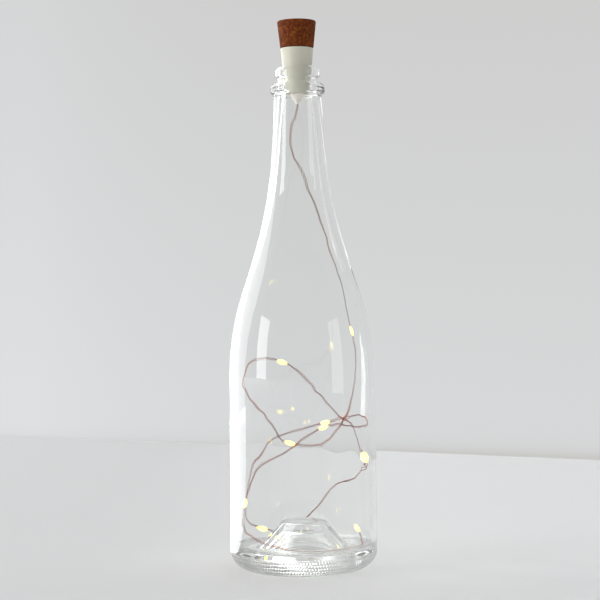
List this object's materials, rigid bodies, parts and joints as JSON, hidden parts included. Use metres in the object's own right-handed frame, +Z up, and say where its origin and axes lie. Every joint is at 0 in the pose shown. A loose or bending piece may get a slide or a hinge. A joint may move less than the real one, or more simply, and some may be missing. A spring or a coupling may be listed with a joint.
{
  "type": "cork bottle light",
  "caption": "Clear glass bottle with a cork-topped rechargeable stopper that lights a string of warm lights on copper wire inside it.",
  "frame": {"origin": "centre of the bottle's footprint, on the surface that it stands on", "axes": "+Z up along the bottle's axis, towards the cork; -Y is the side that faces the viewer, where the switch is"},
  "size_m": [0.088, 0.088, 0.3268],
  "materials": {
    "bottle_glass": "clear polished flint glass with a stippled heel",
    "cork": "fine agglomerated cork, matt, with dark specks",
    "liner_plastic": "satin moulded",
    "white_plastic": "satin moulded",
    "gland_rubber": "soft, translucent cream",
    "board": "green solder mask",
    "plug_steel": "bright nickel plated",
    "tongue_plastic": "plain moulded",
    "contacts": "gilt",
    "switch_case": "tinned steel",
    "knob_plastic": "plain moulded",
    "charge_lamp": "clear resin over a small lamp",
    "clear_plastic": "clear moulded",
    "chip_plastic": "moulded epoxy",
    "cell_can": "nickel plated",
    "sleeve_plastic": "shrunk film",
    "nickel": "bright strip",
    "lead_insulation": "smooth insulation",
    "foam": "closed cell foam",
    "copper_wire": "bare copper under clear enamel, twisted pair",
    "resin": "clear resin drop, lit from inside",
    "lit_led": "lit warm yellow"
  },
  "bodies": {
    "bottle": {"bottle": "bottle_glass", "light_string": "copper_wire", "led_bead_1": "resin", "led_bead_2": "resin", "led_bead_3": "resin", "led_bead_4": "resin", "led_bead_5": "resin", "led_bead_6": "resin", "led_bead_7": "resin", "led_bead_8": "resin", "led_bead_9": "resin", "led_chips": "lit_led"},
    "stopper": {"plug_body": "white_plastic", "nose_cup": "white_plastic", "wire_gland": "gland_rubber", "circuit_board": "board", "usb_shell": "plug_steel", "usb_tongue": "tongue_plastic", "usb_contacts": "contacts", "slide_switch": "switch_case", "charge_light": "charge_lamp", "light_pipe": "clear_plastic", "charge_chip": "chip_plastic", "board_parts": "chip_plastic", "battery_cell": "cell_can", "cell_sleeve": "sleeve_plastic", "cell_tabs": "nickel", "cell_leads": "lead_insulation", "cell_pad": "foam", "string_leads": "lead_insulation"},
    "cork": {"cork_cap": "cork", "cap_liner": "liner_plastic"},
    "switch": {"switch_knob": "knob_plastic"}
  },
  "joints": [
    {"name": "stopper_lift", "type": "slide", "parent": "bottle", "child": "stopper", "axis": [0, 0, 1], "range_m": [0, 0.06]},
    {"name": "cork_pull", "type": "slide", "parent": "stopper", "child": "cork", "axis": [0, 0, 1], "range_m": [0, 0.02]},
    {"name": "switch_slide", "type": "slide", "parent": "stopper", "child": "switch", "axis": [1, 0, 0], "range_m": [-0.002, 0]}
  ]
}
